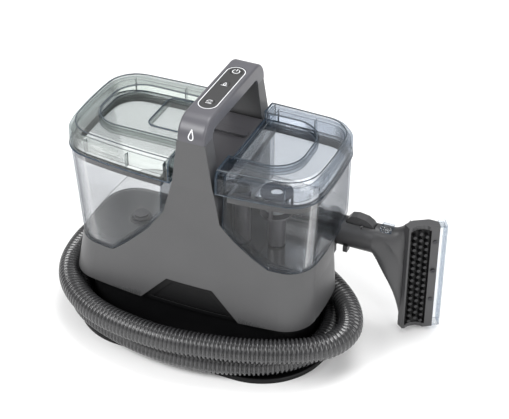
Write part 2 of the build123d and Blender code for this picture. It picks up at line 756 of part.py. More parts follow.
# ---------------------------------------------------------------- suction motor
with BuildPart() as motor_housing:
    add(cylinder_at(*MOTOR_AT, 44, 128, 46))
    add(cylinder_at(*MOTOR_AT, 47, 125, 43), mode=Mode.SUBTRACT)
    add(cylinder_at(*MOTOR_AT, 120, 130, 12), mode=Mode.SUBTRACT)
    # Bracket that carries the upper bearing, and exhaust windows round the foot of the can
    add(cylinder_at(*MOTOR_AT, 97, 101, 43.5, 9))
    with BuildSketch(Plane.XY.offset(50)):
        with Locations(MOTOR_AT):
            with PolarLocations(44, 6):
                Rectangle(10, 16)
    extrude(amount=14, mode=Mode.SUBTRACT)
    add(cylinder_at(*MOTOR_AT, 40, 60, 9), mode=Mode.SUBTRACT)
finish(motor_housing, "motor_housing")

with BuildPart() as motor_stator:
    add(cylinder_at(*MOTOR_AT, 58, 92, 34, 22))
    with BuildSketch(Plane.XY.offset(47)):
        with Locations(MOTOR_AT):
            with PolarLocations(29, 3):
                Circle(3.5)
    extrude(amount=11)
finish(motor_stator, "motor_stator")

with BuildPart() as motor_bearings:
    add(cylinder_at(*MOTOR_AT, 44.2, 51, 8.8, 3.55))
    add(cylinder_at(*MOTOR_AT, 96, 101, 8.9, 3.55))
finish(motor_bearings, "motor_bearings")

with BuildPart() as motor_rotor:
    add(cylinder_at(*MOTOR_AT, 45, 118, 3.5))
    add(cylinder_at(*MOTOR_AT, 60, 90, 21.4))
finish(motor_rotor, "motor_rotor")

with BuildPart() as impeller:
    add(cylinder_at(*MOTOR_AT, 104, 106, 38, 3.5))
    add(cylinder_at(*MOTOR_AT, 106, 117, 8, 3.5))
    with BuildSketch(Plane.XY.offset(106)):
        with Locations(MOTOR_AT):
            with PolarLocations(22.5, 9):
                Rectangle(29, 1.8, rotation=28)
    extrude(amount=9)
finish(impeller, "impeller")

with BuildPart() as motor_inlet:
    add(cylinder_at(*MOTOR_AT, 128, RIGHT_DECK - SKIN, 16, 9))
    add(cylinder_at(*MOTOR_AT, RIGHT_DECK - SKIN, RIGHT_DECK, 11.9, 9))
finish(motor_inlet, "motor_inlet")

# ---------------------------------------------------------------- water pump and its lines
PX, PY = PUMP_AT
with BuildPart() as water_pump:
    add(block((PX - 30, PY - 20, 8), (PX + 10, PY + 20, 46)))
    fillet(water_pump.edges().filter_by(Axis.Z), 4)
    add(block((PX + 10, PY - 16, 12), (PX + 34, PY + 16, 42)))
    with BuildSketch(Plane.XY.offset(46)):
        with Locations((PX - 18, PY), (PX - 2, PY)):
            Circle(4)
    extrude(amount=9)
finish(water_pump, "water_pump")

# Rubber mounts under the motor and the pump
with BuildPart() as rubber_mounts:
    with BuildSketch(Plane.XY.offset(4)):
        with Locations(MOTOR_AT):
            with PolarLocations(34, 3):
                Circle(6)
    extrude(amount=40)
    with BuildSketch(Plane.XY.offset(4)):
        with Locations((PX - 10, PY)):
            with GridLocations(26, 28, 2, 2):
                Circle(5)
    extrude(amount=4)
finish(rubber_mounts, "rubber_mounts")

with BuildPart() as water_lines:
    with BuildLine(mode=Mode.PRIVATE) as feed_path:
        FilletPolyline(
            (VALVE_AT[0] + 9, VALVE_AT[1], 94),
            (VALVE_AT[0] + 9, VALVE_AT[1], 74),
            (PX - 2, PY, 74),
            (PX - 2, PY, 55),
            radius=3.6,
        )
    add(tube(feed_path.wire(), 3.5, 1))
    with BuildLine(mode=Mode.PRIVATE) as spray_path:
        FilletPolyline(
            (PX - 18, PY, 55),
            (PX - 18, PY, 64),
            (PX - 18, 14, 64),
            (-2, 30, 60),
            (-2, 30, 18),
            (-2, 36, 9),
            radius=5,
        )
    add(tube(spray_path.wire(), 3, 0.8))
finish(water_lines, "water_lines")

with BuildPart() as suction_duct:
    ix, iy = INTAKE_AT
    with BuildLine(mode=Mode.PRIVATE) as duct_path:
        FilletPolyline(
            (ix, iy, RIGHT_DECK),
            (ix, iy, 141),
            (6, iy, 141),
            (6, iy, HOSE_START[2]),
            (HOSE_START[0] - 25, -6, HOSE_START[2]),
            (HOSE_START[0] - 25, 38, HOSE_START[2]),
            radius=14,
        )
    add(tube(duct_path.wire(), 11.8, 2.8))
finish(suction_duct, "suction_duct")

# ---------------------------------------------------------------- hose
with BuildPart() as hose_port:
    sx, sy, sz = HOSE_START
    with BuildLine(mode=Mode.PRIVATE) as port_path:
        Line((sx - 25, 38, sz), (sx - 25, 42, sz))
        RadiusArc((sx - 25, 42, sz), (sx - 6, sy, sz), 19)
        Line((sx - 6, sy, sz), (sx, sy, sz))
    add(tube(port_path.wire(), 16.8, 3))
finish(hose_port, "hose_port")

with BuildPart() as hose_coil:
    lower_low, lower_high = LOWER_TURN_Z - HOSE_R, LOWER_TURN_Z + HOSE_R
    upper_low, upper_high = UPPER_TURN_Z - HOSE_R, UPPER_TURN_Z + HOSE_R
    extrude(turn_plan(lower_low, LOWER_TURN, HOSE_R), amount=2 * HOSE_R)
    extrude(turn_plan(upper_low, UPPER_TURN, HOSE_R), amount=2 * HOSE_R)
    add(block((sx - 44, DRUM[3], 0), (sx, 140, lower_high + 1.5)), mode=Mode.SUBTRACT)
    add(
        block((-300, HOSE_ROUTE[0][1], upper_low - 0.5), (TURN_CLIMB_X, 140, 80)),
        mode=Mode.SUBTRACT,
    )
    extrude(turn_plan(0, LOWER_TURN, -HOSE_R), amount=upper_low, mode=Mode.SUBTRACT)
    extrude(turn_plan(upper_low, UPPER_TURN, -HOSE_R), amount=60, mode=Mode.SUBTRACT)
finish(hose_coil, "hose_coil")


def bend_radii(points):
    """As large an arc at each corner as its two runs allow."""
    radii = []
    for before, corner, after in zip(points, points[1:], points[2:]):
        run_in, run_out = Vector(corner) - Vector(before), Vector(after) - Vector(corner)
        turn = radians(run_in.get_angle(run_out))
        radii.append(0.45 * min(run_in.length, run_out.length) / tan(turn / 2))
    return radii


with BuildPart() as hose_riser:
    riser_radii = bend_radii(HOSE_ROUTE)
    with BuildLine() as riser_path:
        FilletPolyline(*HOSE_ROUTE, radius=riser_radii)
    with BuildSketch(Plane(riser_path.wire() @ 0, z_dir=riser_path.wire() % 0)):
        Circle(HOSE_R)
    sweep()
riser_length = riser_path.wire().length
print("hose riser radii:", [round(r) for r in riser_radii])
print(f"riser: volume {hose_riser.part.volume:.0f}, section x length", end=" ")
print(f"{3.14159 * HOSE_R**2 * riser_length:.0f}, length {riser_length:.0f}")
finish(hose_riser, "hose_riser")

CUFF_START = HOSE_ROUTE[-1][0]


def along_x(low, high, radius, bore=0.0):
    """Bar or ring on the axis of the parked tool handle."""
    with BuildPart() as piece:
        with BuildSketch(Plane.YZ.offset(low)):
            with Locations((TOOL_Y, TOOL_Z)):
                Circle(radius)
                if bore:
                    Circle(bore, mode=Mode.SUBTRACT)
        extrude(amount=high - low)
    return piece.part


with BuildPart() as hose_cuff:
    add(along_x(CUFF_START, TOOL_START - SLIP, 18.5, 12))
    add(along_x(TOOL_START - SLIP, TOOL_START + 16, 15, 12))
    add(along_x(TOOL_START + 11, TOOL_START + 15, 16.8, 12))
finish(hose_cuff, "hose_cuff")

with BuildPart() as tool_cradle:
    for x in (TOOL_START + 10, TOOL_START + 36):
        add(along_x(x, x + 12, TOOL_R + 1.9, TOOL_R + SLIP))
        add(block((x, TOOL_Y + 9, TOOL_Z - 30), (x + 12, 90, TOOL_Z + 30)), mode=Mode.SUBTRACT)
    add(
        block((TOOL_START + 10, NICHE_FRONT + 1, NICHE_FLOOR), (TOOL_START + 48, 42, NICHE_FLOOR + 11))
        - along_x(TOOL_START, TOOL_START + 60, TOOL_R + 1.9)
    )
finish(tool_cradle, "tool_cradle")

# ---------------------------------------------------------------- tool
INNER_R = TOOL_R - TOOL_WALL
PIVOT_X, PIVOT_Z = TRIGGER_PIVOT
SLOT_LOW, SLOT_HIGH = 156.5, 197.3
HEAD = Plane(
    origin=(*HEAD_CORNER, HEAD_LOW),
    x_dir=(cos(radians(HEAD_TURN)), sin(radians(HEAD_TURN)), 0),
    z_dir=(0, 0, 1),
)
FACE = Plane(
    origin=(*HEAD_CORNER, HEAD_LOW),
    x_dir=(cos(radians(HEAD_TURN)), sin(radians(HEAD_TURN)), 0),
    z_dir=(sin(radians(HEAD_TURN)), -cos(radians(HEAD_TURN)), 0),
)
HEAD_TALL = HEAD_HIGH - HEAD_LOW
BRUSH_LOW, BRUSH_HIGH = 6.0, HEAD_TALL - 6.0


def head_slab(points, low, high):
    """Upright slab of the nozzle: plan points are along and behind the brush face."""
    with BuildPart() as slab:
        with BuildSketch(HEAD.offset(low)):
            with BuildLine():
                Polyline(*points, close=True)
            make_face()
        extrude(amount=high - low)
    return slab.part


def head_rectangle(u0, u1, v0, v1, low, high):
    """Upright rectangular slab of the nozzle."""
    return head_slab([(u0, v0), (u1, v0), (u1, v1), (u0, v1)], low, high)


for label, side in (("tool_handle_front", -1), ("tool_handle_rear", 1)):
    with BuildPart() as tool_half:
        add(along_x(TOOL_START, TOOL_END, TOOL_R, INNER_R))
        add(along_x(TOOL_START, TOOL_START + 6, TOOL_R, 15.08))
        add(
            block((SLOT_LOW, TOOL_Y - 7.2, TOOL_Z + 5), (SLOT_HIGH, TOOL_Y + 7.2, TOOL_Z + 30)),
            mode=Mode.SUBTRACT,
        )
        with BuildSketch(Plane.XZ.offset(-20)):
            with Locations((PIVOT_X, PIVOT_Z)):
                Circle(1.5)
        extrude(amount=-60, mode=Mode.SUBTRACT)
        cut_low, cut_high = sorted((TOOL_Y, TOOL_Y - side * 40))
        add(block((0, cut_low, 80), (260, cut_high, 200)), mode=Mode.SUBTRACT)
        if side < 0:
            # Lug under the handle that hooks over the cradle
            add(
                block((160, TOOL_Y - 22.5, TOOL_Z - 18), (166, TOOL_Y - 12, TOOL_Z - 9))
                - along_x(155, 170, INNER_R + 0.5)
            )
    finish(tool_half, label)

with BuildPart() as tool_head:
    with BuildSketch(Plane.YZ.offset(TOOL_END)):
        with Locations((TOOL_Y, TOOL_Z)):
            Circle(TOOL_R)
    with BuildSketch(Plane.YZ.offset(219)):
        with Locations((TOOL_Y + 1, 119)):
            RectangleRounded(32, 80, 15.5)
    with BuildSketch(Plane.YZ.offset(241)):
        with Locations((53, (HEAD_LOW + HEAD_HIGH) / 2)):
            RectangleRounded(18, HEAD_TALL, 8.5)
    loft()
    add(head_slab([(0, 0), (41, 0), (41, 10), (30, 17), (8, 17), (-4, 10)], 0, HEAD_TALL))
    # Air passage from the mouth beside the brush to the handle
    with BuildSketch(Plane.YZ.offset(TOOL_END)):
        with Locations((TOOL_Y, TOOL_Z)):
            Circle(INNER_R)
    with BuildSketch(Plane.YZ.offset(219)):
        with Locations((TOOL_Y + 1, 119)):
            RectangleRounded(26, 74, 12.5)
    with BuildSketch(Plane.YZ.offset(241)):
        with Locations((55, (HEAD_LOW + HEAD_HIGH) / 2)):
            RectangleRounded(11, HEAD_TALL - 8, 5)
    loft(mode=Mode.SUBTRACT)
    add(head_rectangle(1, 41.5, 10.5, 13.5, 4, HEAD_TALL - 4), mode=Mode.SUBTRACT)
    add(head_rectangle(2.5, 30, -1, 9, BRUSH_LOW, BRUSH_HIGH), mode=Mode.SUBTRACT)
    # Arched mouth of the brush recess at its two ends
    arch_plan = [(3, -1), (7, 2.8), (12, 4.6), (20, 4.6), (25, 2.8), (29, -1)]
    add(head_slab(arch_plan, -1, HEAD_TALL + 1), mode=Mode.SUBTRACT)
finish(tool_head, "tool_head")

with BuildPart() as brush_block:
    add(head_rectangle(2.7, 29.8, 5.5, 9, BRUSH_LOW + 0.2, BRUSH_HIGH - 0.2))
finish(brush_block, "brush_block")

with BuildPart() as brush_tufts:
    with BuildSketch(FACE.offset(-5.5)):
        for column in range(3):
            for row in range(15):
                with Locations((8.2 + 8 * column, BRUSH_LOW + 7 + 10 * row + 5 * (column % 2))):
                    Circle(2.4)
    extrude(amount=7)
finish(brush_tufts, "brush_tufts")

with BuildPart() as clear_window:
    add(head_rectangle(41, 51, 0, 15, 1, HEAD_TALL - 1))
    add(head_rectangle(40, 49, -1, 13, 3, HEAD_TALL - 3), mode=Mode.SUBTRACT)
    # Clear rib on top of the neck, the rear end of the same moulding
    neck_rib = block((205, TOOL_Y - 8, TOOL_Z + 15), (220, TOOL_Y + 8, TOOL_Z + 26)) - tool_head.part
    neck_rib &= Pos(0, TOOL_Y, TOOL_Z) * Rot(0, 90, 0) * Cylinder(24.5, 1000, mode=Mode.PRIVATE)
    add(neck_rib.solids().sort_by(SortBy.VOLUME)[-1])
finish(clear_window, "clear_window")

with BuildPart() as window_screws:
    with BuildSketch(FACE):
        with Locations((35.5, 48), (35.5, 143)):
            Circle(2.8)
    extrude(amount=1)
finish(window_screws, "window_screws")

with BuildPart() as spray_tip:
    with BuildSketch(FACE):
        with Locations((35.5, 96)):
            Circle(3)
            Circle(0.8, mode=Mode.SUBTRACT)
    extrude(amount=2)
finish(spray_tip, "spray_tip")

with BuildPart() as spray_valve:
    add(block((161, TOOL_Y - 5, TOOL_Z - 8), (171, TOOL_Y + 5, TOOL_Z + 4)))
    add(cylinder_at(166, TOOL_Y, TOOL_Z + 1, TOOL_Z + 5, 2.05), mode=Mode.SUBTRACT)
    add(block((163, TOOL_Y - 2, TOOL_Z - INNER_R + 0.2), (169, TOOL_Y + 2, TOOL_Z - 8)))
    # Water tubes into and out of the valve
    for tube_start, tube_end in ((116, 161), (171, 223)):
        with BuildSketch(Plane.YZ.offset(tube_start)):
            with Locations((TOOL_Y, TOOL_Z - 3)):
                Circle(2)
                Circle(1.2, mode=Mode.SUBTRACT)
        extrude(amount=tube_end - tube_start)
finish(spray_valve, "spray_valve")

with BuildPart() as valve_stem:
    add(cylinder_at(166, TOOL_Y, TOOL_Z + 3, TOOL_Z + 13.7, 2.0))
finish(valve_stem, "valve_stem")

with BuildPart() as trigger:
    with BuildSketch(Plane.XZ.offset(-TOOL_Y)):
        with BuildLine():
            Polyline(
                (159, 152),
                (158, 160),
                (163, 166.5),
                (172, 168.5),
                (185, 166.5),
                (193, 161.5),
                (196.5, 156),
                (191, 152),
                close=True,
            )
        make_face()
        with Locations((PIVOT_X, PIVOT_Z)):
            Circle(1.56, mode=Mode.SUBTRACT)
    extrude(amount=6.6, both=True)
finish(trigger, "trigger")

with BuildPart() as trigger_pin:
    with BuildSketch(Plane.XZ.offset(-TOOL_Y)):
        with Locations((PIVOT_X, PIVOT_Z)):
            Circle(1.5)
    extrude(amount=8.6, both=True)
finish(trigger_pin, "trigger_pin")

with BuildPart() as trigger_spring:
    add(cylinder_at(166, TOOL_Y, TOOL_Z + 5, TOOL_Z + 13, 4, 2.6))
finish(trigger_spring, "trigger_spring")
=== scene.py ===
"""Looks of the portable spot extractor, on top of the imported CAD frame."""
import math

import bmesh
import bpy
import numpy as np
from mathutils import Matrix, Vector
from mathutils.bvhtree import BVHTree


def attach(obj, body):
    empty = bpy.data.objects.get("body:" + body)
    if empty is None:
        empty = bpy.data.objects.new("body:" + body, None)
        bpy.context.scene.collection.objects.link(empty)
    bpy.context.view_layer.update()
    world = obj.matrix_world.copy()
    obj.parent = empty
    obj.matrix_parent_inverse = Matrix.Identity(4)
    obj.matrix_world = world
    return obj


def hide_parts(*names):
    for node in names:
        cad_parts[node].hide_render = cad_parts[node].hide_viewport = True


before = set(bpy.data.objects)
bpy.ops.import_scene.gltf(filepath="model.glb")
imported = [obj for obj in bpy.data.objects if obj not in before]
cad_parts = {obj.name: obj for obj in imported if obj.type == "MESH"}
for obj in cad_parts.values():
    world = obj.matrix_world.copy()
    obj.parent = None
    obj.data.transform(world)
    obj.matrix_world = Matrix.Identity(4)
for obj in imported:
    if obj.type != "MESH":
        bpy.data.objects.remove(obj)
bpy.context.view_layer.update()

MM = 0.001
TAU = 2 * math.pi
TANGENT_REACH = 4 * MM  # how far each side of a station its direction is taken
STEEP = 0.9  # a line that starts this upright takes its side from Y


# ---------------------------------------------------------------- camera
camera = bpy.data.objects.new("camera", bpy.data.cameras.new("camera"))
bpy.context.collection.objects.link(camera)
camera.location = (0.676, -1.417, 1.300)
camera.rotation_mode = "QUATERNION"
camera.rotation_quaternion = Vector((-0.329, 0.739, -0.588)).to_track_quat("-Z", "Y")
camera.data.lens = 103.5
camera.data.sensor_width = 36
camera.data.clip_start, camera.data.clip_end = 0.05, 50
bpy.context.scene.camera = camera


# ---------------------------------------------------------------- helpers
def link(name, data, body):
    """A new object that rides on a body."""
    obj = bpy.data.objects.new(name, data)
    bpy.context.collection.objects.link(obj)
    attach(obj, body)
    return obj


def mesh_from(name, verts, faces, smooth=True):
    """A mesh from vertex places in metres and faces."""
    mesh = bpy.data.meshes.new(name)
    mesh.from_pydata([tuple(v) for v in verts], [], faces)
    mesh.update()
    for polygon in mesh.polygons:
        polygon.use_smooth = smooth
    return mesh


def rings_along(points, stations, radii, segments=28):
    """Vertices and faces of a tube along the points, with a ring of its own radius at each station."""
    points = np.array(points)
    steps = np.linalg.norm(np.diff(points, axis=0), axis=1)
    along = np.concatenate([[0], np.cumsum(steps)])

    def places_at(distances):
        return np.stack([np.interp(distances, along, points[:, k]) for k in range(3)], axis=1)

    centres = places_at(stations)
    ahead = places_at(np.minimum(stations + TANGENT_REACH, along[-1]))
    behind = places_at(np.maximum(stations - TANGENT_REACH, 0))
    tangents = ahead - behind
    tangents /= np.linalg.norm(tangents, axis=1)[:, None]
    side = np.cross(tangents[0], (0, 0, 1.0) if abs(tangents[0][2]) < STEEP else (0, 1.0, 0))
    verts = []
    for centre, tangent, radius in zip(centres, tangents, radii):
        side = side - tangent * side.dot(tangent)
        side /= np.linalg.norm(side)
        up = np.cross(side, tangent)
        for k in range(segments):
            angle = TAU * k / segments
            verts.append(centre + radius * (math.cos(angle) * side + math.sin(angle) * up))
    faces = []
    for ring in range(len(stations) - 1):
        for k in range(segments):
            a, b = ring * segments + k, ring * segments + (k + 1) % segments
            faces.append((a, b, b + segments, a + segments))
    faces.append(tuple(range(segments))[::-1])
    last = (len(stations) - 1) * segments
    faces.append(tuple(range(last, last + segments)))
    return verts, faces


# ---------------------------------------------------------------- hose
HOSE_R = 16.5
RIB_PITCH = 5.6
# One rib: share of the pitch, and radius there
RIB_PROFILE = [(0.0, 16.1), (0.12, HOSE_R), (0.38, HOSE_R), (0.5, 16.1), (0.62, 14.3), (0.88, 14.3)]
LOWER_TURN = [
    (60.0, 61.0),
    (98.0, 61.0),
    (130.0, 48.0),
    (156.0, 20.0),
    (167.0, -18.0),
    (164.0, -60.0),
    (141.0, -94.0),
    (112.0, -118.0),
    (64.0, -137.0),
    (10.0, -147.0),
    (-48.0, -145.0),
    (-100.0, -134.0),
    (-149.0, -116.0),
    (-182.0, -84.0),
    (-196.0, -42.0),
    (-195.0, 2.0),
    (-179.0, 33.0),
    (-150.0, 55.0),
    (-110.0, 62.0),
]
CLIMB = [(-78.0, 62.0, 24.5), (-42.0, 66.0, 32.0), (-6.0, 71.0, 45.0)]
UPPER_TURN = [
    (30.0, 72.0),
    (75.0, 68.0),
    (116.0, 55.0),
    (150.0, 32.0),
    (176.0, 8.0),
    (194.0, -20.0),
    (201.0, -50.0),
    (190.0, -80.0),
    (166.0, -102.0),
    (130.0, -121.0),
    (88.0, -137.0),
    (38.0, -149.0),
    (-16.0, -157.0),
    (-75.0, -153.0),
    (-120.0, -143.0),
    (-157.0, -124.0),
    (-186.0, -97.0),
    (-204.0, -64.0),
]
LOWER_TURN_Z, UPPER_TURN_Z = 23.5, 52.5
HOSE_ROUTE = [
    (-211.0, -28.0, 52.5),
    (-211.0, 8.0, 53.0),
    (-197.0, 44.0, 55.0),
    (-166.0, 74.0, 59.0),
    (-124.0, 88.0, 66.0),
    (-78.0, 84.0, 80.0),
    (-30.0, 72.0, 104.0),
    (10.0, 60.0, 126.0),
    (48.0, 52.0, 136.5),
    (86.0, 50.0, 138.0),
]


def hose_spline():
    """The hose's own line: two turns round the base, then up behind to the tool handle."""
    points = [(x, y, LOWER_TURN_Z) for x, y in LOWER_TURN] + CLIMB
    points += [(x, y, UPPER_TURN_Z) for x, y in UPPER_TURN] + HOSE_ROUTE
    curve = bpy.data.curves.new("hose_line", "CURVE")
    curve.dimensions = "3D"
    curve.resolution_u = 24
    spline = curve.splines.new("NURBS")
    spline.points.add(len(points) - 1)
    for point, place in zip(spline.points, points):
        point.co = (*[value * MM for value in place], 1)
    spline.order_u = 3
    spline.use_endpoint_u = True
    carrier = bpy.data.objects.new("hose_line", curve)
    bpy.context.collection.objects.link(carrier)
    line = bpy.data.meshes.new_from_object(carrier)
    places = [tuple(v.co) for v in line.vertices]
    bpy.data.objects.remove(carrier)
    return places


def ribbed_hose():
    """Corrugated hose: a crest and a groove at each pitch."""
    line = hose_spline()
    length = sum((Vector(b) - Vector(a)).length for a, b in zip(line, line[1:]))
    pitch = RIB_PITCH * MM
    stations, radii = [], []
    for rib in range(int(length / pitch)):
        for share, radius in RIB_PROFILE:
            stations.append((rib + share) * pitch)
            radii.append(radius * MM)
    verts, faces = rings_along(line, np.array(stations), radii)
    hose = link("ribbed_hose", mesh_from("ribbed_hose", verts, faces), "root")
    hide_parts("hose_coil", "hose_riser")
    return hose


hose = ribbed_hose()


# ---------------------------------------------------------------- materials
class Nodes:
    """Small wrapper round a material's node tree."""

    def __init__(self, name):
        self.material = bpy.data.materials.new(name)
        self.material.use_nodes = True
        self.tree = self.material.node_tree
        self.shader = self.tree.nodes["Principled BSDF"]
        self.output = self.tree.nodes["Material Output"]

    def add(self, kind, **values):
        node = self.tree.nodes.new(kind)
        for key, value in values.items():
            if key in node.inputs:
                node.inputs[key].default_value = value
            else:
                setattr(node, key, value)
        return node

    def wire(self, source, target):
        self.tree.links.new(source, target)


CLOUD_SPREAD = 0.06  # share by which the colour wanders
ROUGH_SPREAD = 0.15  # share by which the roughness wanders
# Reach of the painted crevice shade, in mm
CREVICE_SHADE_REACH = 9.0
GRAIN_DEPTH = 0.2


def plastic(
    name,
    colour,
    rough,
    grain=0.12,
    grain_size=900.0,
    coat=0.0,
    edge=0.7,
    specular=0.5,
    own_painted_shade=False,
):
    """Moulded plastic: faint cloudy variation, fine grain, softened edges and painted shade in
    crevices.

    The edge is the softened radius in mm. Painted shade: ambient occlusion darkens the colour in
    crevices and gaps, and with own_painted_shade a piece is shaded only by itself, not by a clear wall
    close in front of it.
    """
    m = Nodes(name)
    place = m.add("ShaderNodeTexCoord")
    cloud = m.add("ShaderNodeTexNoise", Scale=14.0, Detail=3.0, Roughness=0.6)
    m.wire(place.outputs["Object"], cloud.inputs["Vector"])
    ramp = m.add("ShaderNodeValToRGB")
    ramp.color_ramp.elements[0].position, ramp.color_ramp.elements[1].position = 0.3, 0.7
    ramp.color_ramp.elements[0].color = (*[c * (1 - CLOUD_SPREAD) for c in colour], 1)
    ramp.color_ramp.elements[1].color = (*[c * (1 + CLOUD_SPREAD) for c in colour], 1)
    m.wire(cloud.outputs["Fac"], ramp.inputs["Fac"])
    # Painted shade: ambient occlusion darkens the base colour in crevices and gaps
    crevice = m.add("ShaderNodeAmbientOcclusion", Distance=CREVICE_SHADE_REACH * MM)
    crevice.samples = 6
    crevice.only_local = own_painted_shade
    m.wire(ramp.outputs["Color"], crevice.inputs["Color"])
    m.wire(crevice.outputs["Color"], m.shader.inputs["Base Color"])
    wear = m.add("ShaderNodeTexNoise", Scale=55.0, Detail=5.0)
    m.wire(place.outputs["Object"], wear.inputs["Vector"])
    patchy = m.add("ShaderNodeMapRange")
    patchy.inputs["To Min"].default_value = rough * (1 - ROUGH_SPREAD)
    patchy.inputs["To Max"].default_value = rough * (1 + ROUGH_SPREAD)
    m.wire(wear.outputs["Fac"], patchy.inputs["Value"])
    m.wire(patchy.outputs["Result"], m.shader.inputs["Roughness"])
    fine = m.add("ShaderNodeTexNoise", Scale=grain_size, Detail=2.0)
    m.wire(place.outputs["Object"], fine.inputs["Vector"])
    soft = m.add("ShaderNodeBevel", Radius=edge * MM)
    soft.samples = 4
    bump = m.add("ShaderNodeBump", Strength=grain, Distance=GRAIN_DEPTH * MM)
    m.wire(fine.outputs["Fac"], bump.inputs["Height"])
    m.wire(soft.outputs["Normal"], bump.inputs["Normal"])
    m.wire(bump.outputs["Normal"], m.shader.inputs["Normal"])
    m.shader.inputs["Specular IOR Level"].default_value = specular
    if coat:
        m.shader.inputs["Coat Weight"].default_value = coat
        m.shader.inputs["Coat Roughness"].default_value = 0.12
    return m.material


RIPPLE_STRENGTH, RIPPLE_DEPTH = 0.10, 2.0
# Painted shade lines along clear edges: where they begin, where they are full, and how dark
EDGE_SHADE_FROM, EDGE_SHADE_FULL = 0.97, 0.80  # how far the softened normal agrees with the true one
EDGE_SHADE_STRENGTH = 0.85
LEAST_GLOSS, GLOSS_GAIN = 0.01, 0.40


def clear(name, face_tint, edge_tint, line, edge_shade_width):
    """Clear moulded plastic: tinted more where seen obliquely, with painted shade as dark lines along
    its edges.
    """
    m = Nodes(name)
    # The Principled shader carries the colour of the painted shade lines along the edges
    m.shader.inputs["Base Color"].default_value = (*line, 1)
    m.shader.inputs["Roughness"].default_value = 0.12
    m.shader.inputs["IOR"].default_value = 1.49
    place = m.add("ShaderNodeTexCoord")
    ripple = m.add("ShaderNodeTexNoise", Scale=9.0, Detail=1.0)
    m.wire(place.outputs["Object"], ripple.inputs["Vector"])
    bump = m.add("ShaderNodeBump", Strength=RIPPLE_STRENGTH, Distance=RIPPLE_DEPTH * MM)
    m.wire(ripple.outputs["Fac"], bump.inputs["Height"])
    facing = m.add("ShaderNodeLayerWeight", Blend=0.5)
    m.wire(bump.outputs["Normal"], facing.inputs["Normal"])
    tint = m.add("ShaderNodeValToRGB")
    tint.color_ramp.elements[0].position, tint.color_ramp.elements[1].position = 0.35, 0.97
    tint.color_ramp.elements[0].color = (*face_tint, 1)
    tint.color_ramp.elements[1].color = (*edge_tint, 1)
    m.wire(facing.outputs["Facing"], tint.inputs["Fac"])
    see = m.add("ShaderNodeBsdfTransparent")
    m.wire(tint.outputs["Color"], see.inputs["Color"])
    # Painted shade along the edges: the dark line colour is mixed in where the softened normal leaves
    # the true one
    soft = m.add("ShaderNodeBevel", Radius=edge_shade_width * MM)
    soft.samples = 6
    true = m.add("ShaderNodeNewGeometry")
    match = m.add("ShaderNodeVectorMath", operation="DOT_PRODUCT")
    m.wire(soft.outputs["Normal"], match.inputs[0])
    m.wire(true.outputs["Normal"], match.inputs[1])
    edge = m.add("ShaderNodeMapRange")
    edge.inputs["From Min"].default_value = EDGE_SHADE_FROM
    edge.inputs["From Max"].default_value = EDGE_SHADE_FULL
    edge.inputs["To Max"].default_value = EDGE_SHADE_STRENGTH
    m.wire(match.outputs["Value"], edge.inputs["Value"])
    glossy = m.add("ShaderNodeBsdfGlossy", Roughness=0.08)
    m.wire(bump.outputs["Normal"], glossy.inputs["Normal"])
    fresnel = m.add("ShaderNodeFresnel", IOR=1.35)
    m.wire(bump.outputs["Normal"], fresnel.inputs["Normal"])
    shine = m.add("ShaderNodeMath", operation="MULTIPLY_ADD")
    shine.inputs[1].default_value = GLOSS_GAIN
    shine.inputs[2].default_value = LEAST_GLOSS
    m.wire(fresnel.outputs["Fac"], shine.inputs[0])
    sheet = m.add("ShaderNodeMixShader")
    m.wire(shine.outputs["Value"], sheet.inputs["Fac"])
    m.wire(see.outputs["BSDF"], sheet.inputs[1])
    m.wire(glossy.outputs["BSDF"], sheet.inputs[2])
    mix = m.add("ShaderNodeMixShader")
    m.wire(edge.outputs["Result"], mix.inputs["Fac"])
    m.wire(sheet.outputs["Shader"], mix.inputs[1])
    m.wire(m.shader.outputs["BSDF"], mix.inputs[2])
    m.wire(mix.outputs["Shader"], m.output.inputs["Surface"])
    return m.material


BRUSHING = (40, 40, 1200)  # fine across the strokes, coarse along them


def metal(name, colour, rough):
    """Brushed metal for pins, springs and screws."""
    m = Nodes(name)
    place = m.add("ShaderNodeTexCoord")
    stretch = m.add("ShaderNodeMapping")
    stretch.inputs["Scale"].default_value = BRUSHING
    m.wire(place.outputs["Object"], stretch.inputs["Vector"])
    lines = m.add("ShaderNodeTexNoise", Scale=1.0, Detail=3.0)
    m.wire(stretch.outputs["Vector"], lines.inputs["Vector"])
    shade = m.add("ShaderNodeMapRange")
    shade.inputs["To Min"].default_value = rough * 0.7
    shade.inputs["To Max"].default_value = rough * 1.3
    m.wire(lines.outputs["Fac"], shade.inputs["Value"])
    m.wire(shade.outputs["Result"], m.shader.inputs["Roughness"])
    m.shader.inputs["Base Color"].default_value = (*colour, 1)
    m.shader.inputs["Metallic"].default_value = 1.0
    return m.material


SHELL = plastic("shell_grey", (0.068, 0.068, 0.070), 0.40)
FLUTE = plastic("flute_grey", (0.046, 0.046, 0.048), 0.5)
CAP = plastic("cap_grey", (0.082, 0.081, 0.092), 0.36)
TOOL = plastic("tool_grey", (0.048, 0.048, 0.050), 0.40)
DECK = plastic("deck_grey", (0.048, 0.047, 0.053), 0.34, grain=0.02, own_painted_shade=True)
BLACK = plastic("black_base", (0.004, 0.004, 0.0045), 0.45, specular=0.25)
PANEL = plastic("panel_dark", (0.035, 0.035, 0.036), 0.30, grain=0.04)
RUBBER = plastic("rubber_black", (0.014, 0.014, 0.014), 0.62, grain=0.3, grain_size=500)
SEAL = plastic("seal_grey", (0.075, 0.073, 0.073), 0.5, own_painted_shade=True)
HOSE = plastic("hose_grey", (0.036, 0.036, 0.038), 0.24, coat=0.4, edge=0.3)
BRISTLE = plastic("bristle_black", (0.006, 0.006, 0.007), 0.45)
FOAM = plastic("float_grey", (0.16, 0.17, 0.18), 0.6, own_painted_shade=True)
BOARD = plastic("board_green", (0.015, 0.11, 0.05), 0.4)
STEEL = metal("steel", (0.55, 0.55, 0.56), 0.32)
